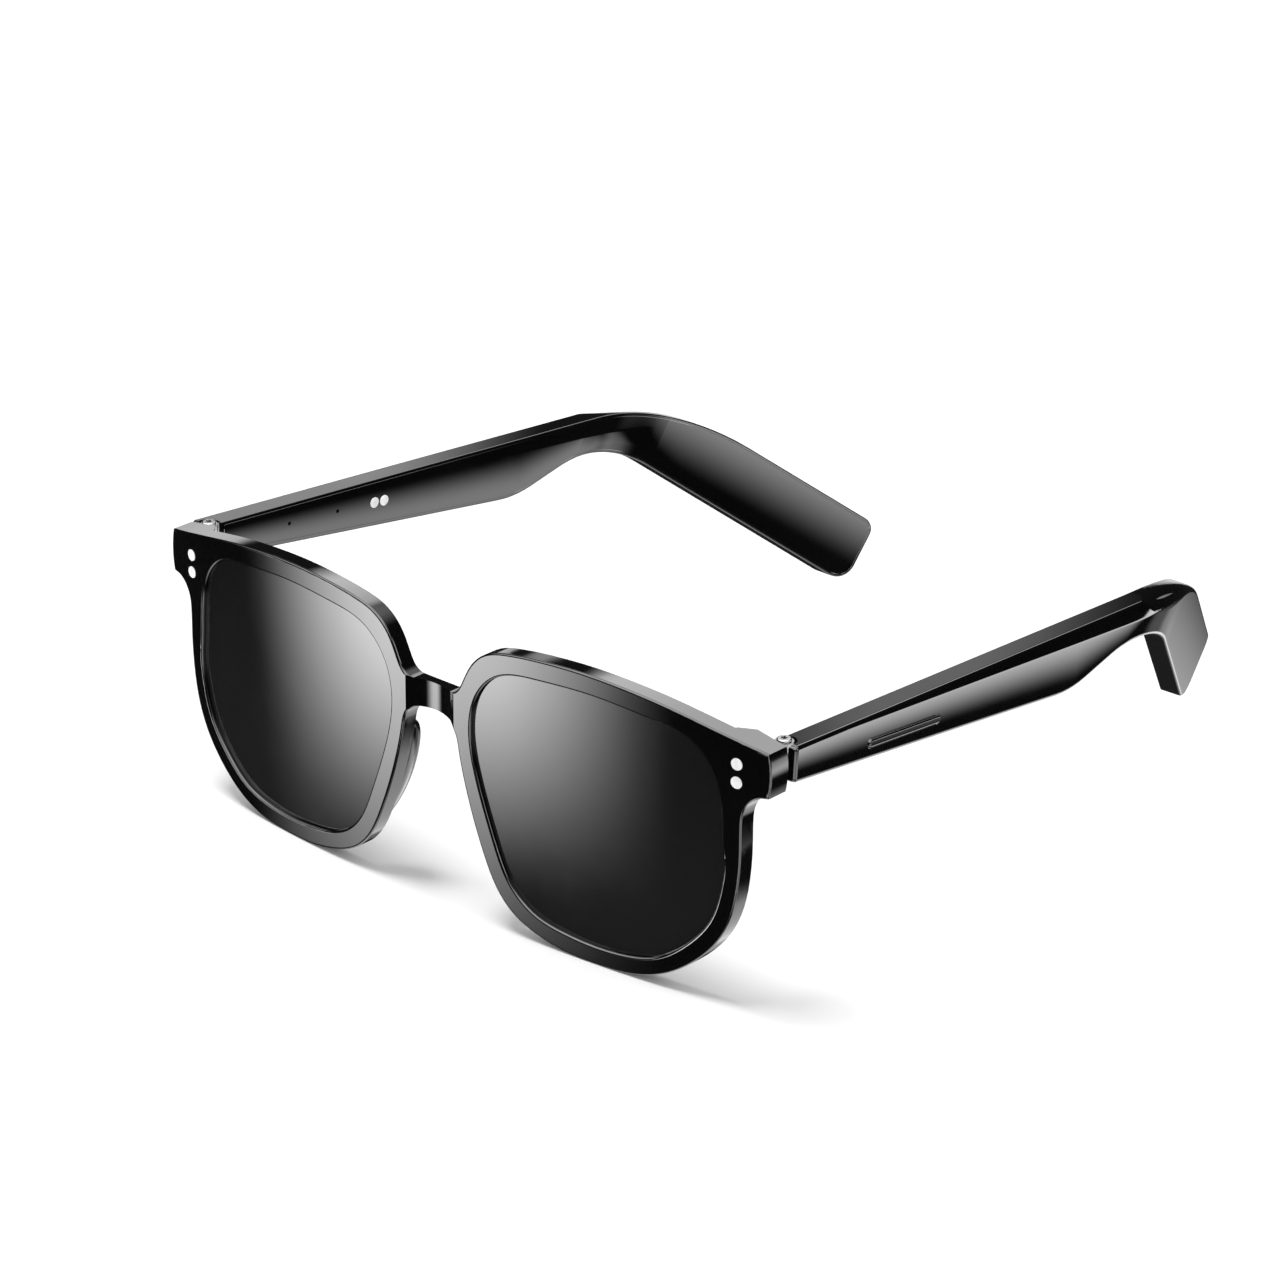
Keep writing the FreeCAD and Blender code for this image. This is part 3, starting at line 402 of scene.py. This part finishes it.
def soft_box(graph, direction, elevation, box):
    """The brightness of one soft box in each direction."""
    start, end, fade, bottom, fade_bottom, top, fade_top, strength = box
    turn = graph.node("ShaderNodeVectorRotate", rotation_type="Z_AXIS")
    graph.link(direction, turn.inputs["Vector"])
    turn.inputs["Angle"].default_value = -math.radians((start + end) / 2)
    turned = graph.split(turn.outputs[0])
    forward = graph.math("MULTIPLY", turned["Y"], -1.0)
    bearing = graph.math("MULTIPLY", graph.math("ARCTAN2", turned["X"], forward), math.degrees(1))
    half = (end - start) / 2
    across = graph.smooth(graph.math("ABSOLUTE", bearing), half - fade, half + fade, strength, 0.0)
    above = graph.smooth(elevation, bottom - fade_bottom, bottom + fade_bottom)
    below = graph.smooth(elevation, top - fade_top, top + fade_top, 1.0, 0.0)
    return graph.math("MULTIPLY", across, graph.math("MULTIPLY", above, below))


def make_world():
    """Even white light for the table and the satin parts, and soft boxes for what is glossy."""
    world = bpy.data.worlds.new("studio")
    bpy.context.scene.world = world
    world.use_nodes = True
    world.node_tree.nodes.clear()
    graph = Graph(world.node_tree)
    direction = graph.node("ShaderNodeTexCoord").outputs["Generated"]
    rise = graph.math("ARCSINE", graph.split(direction)["Z"])
    elevation = graph.math("MULTIPLY", rise, math.degrees(1))
    glow = graph.math("ADD", graph.smooth(elevation, *GLOW_ABOVE), graph.smooth(elevation, *GLOW_BELOW))
    for box in SOFT_BOXES.values():
        glow = graph.math("ADD", glow, soft_box(graph, direction, elevation, box))
    boxes = graph.node("ShaderNodeBackground")
    graph.link(glow, boxes.inputs["Strength"])
    even = graph.node("ShaderNodeBackground")
    even.inputs["Strength"].default_value = EVEN_LIGHT
    mixed = graph.node("ShaderNodeMixShader")
    graph.link(graph.node("ShaderNodeLightPath").outputs["Is Glossy Ray"], mixed.inputs[0])
    graph.link(even.outputs[0], mixed.inputs[1])
    graph.link(boxes.outputs[0], mixed.inputs[2])
    output = graph.node("ShaderNodeOutputWorld")
    graph.link(mixed.outputs[0], output.inputs["Surface"])


def make_floor():
    """A pale matt table, far larger than the view, that the gloss doesn't mirror."""
    mesh = bpy.data.meshes.new("floor")
    corners = [(x * FLOOR_REACH, y * FLOOR_REACH, 0) for x, y in ((-1, -1), (1, -1), (1, 1), (-1, 1))]
    mesh.from_pydata(corners, [], [(0, 1, 2, 3)])
    floor = bpy.data.objects.new("floor", mesh)
    bpy.context.scene.collection.objects.link(floor)
    material, graph, shader = new_material("pale_table")
    grain = graph.noise(graph.object_place(), 40.0)
    graph.link(graph.mix_colour(grain, FLOOR_DARK, FLOOR_PALE), shader.inputs["Base Color"])
    shader.inputs["Roughness"].default_value = 1.0
    shader.inputs["Specular IOR Level"].default_value = 0.0
    mesh.materials.append(material)
    floor.visible_glossy = False


def make_light():
    """A wide lamp high on the wearer's right, for the soft shadows beside the rims."""
    data = bpy.data.lights.new("shadow_light", "AREA")
    data.shape = "DISK"
    data.size = LIGHT_WIDTH
    data.energy = LIGHT_POWER
    light = bpy.data.objects.new("shadow_light", data)
    light.location = LIGHT_PLACE
    light.rotation_mode = "QUATERNION"
    light.rotation_quaternion = (Vector(LIGHT_AIM) - Vector(LIGHT_PLACE)).to_track_quat("-Z", "Y")
    light.visible_glossy = False
    bpy.context.scene.collection.objects.link(light)


make_world()
make_floor()
make_light()


# ---------------------------------------------------------------- camera

CAMERA_AZIMUTH = math.radians(41.711)
CAMERA_ELEVATION = math.radians(23.696)
CAMERA_ROLL = math.radians(0.5185)
CAMERA_DISTANCE = 0.77872
CAMERA_LENS = 131.354
CAMERA_SENSOR = 36.0
AIM_SIDEWAYS = 0.049394
AIM_BEFORE_FRONT = 0.00002
AIM_HEIGHT = 0.065701


def make_camera():
    """The photograph's camera, aimed at a point level with the foremost part of the rims."""
    front = cad_box[0].y
    aim = Vector((AIM_SIDEWAYS, front - AIM_BEFORE_FRONT, AIM_HEIGHT))
    back = Vector((math.sin(CAMERA_AZIMUTH) * math.cos(CAMERA_ELEVATION),
                   -math.cos(CAMERA_AZIMUTH) * math.cos(CAMERA_ELEVATION), math.sin(CAMERA_ELEVATION)))
    right = Vector((math.cos(CAMERA_AZIMUTH), math.sin(CAMERA_AZIMUTH), 0))
    up = back.cross(right)
    rolled_right = right * math.cos(CAMERA_ROLL) + up * math.sin(CAMERA_ROLL)
    rolled_up = up * math.cos(CAMERA_ROLL) - right * math.sin(CAMERA_ROLL)
    turn = Matrix((rolled_right, rolled_up, back)).transposed()
    data = bpy.data.cameras.new("camera")
    data.sensor_width = CAMERA_SENSOR
    data.lens = CAMERA_LENS
    data.clip_start = 0.01
    data.clip_end = 50.0
    camera = bpy.data.objects.new("camera", data)
    camera.matrix_world = Matrix.Translation(aim + back * CAMERA_DISTANCE) @ turn.to_4x4()
    bpy.context.scene.collection.objects.link(camera)
    bpy.context.scene.camera = camera


make_camera()
bpy.context.scene.view_settings.view_transform = "Standard"
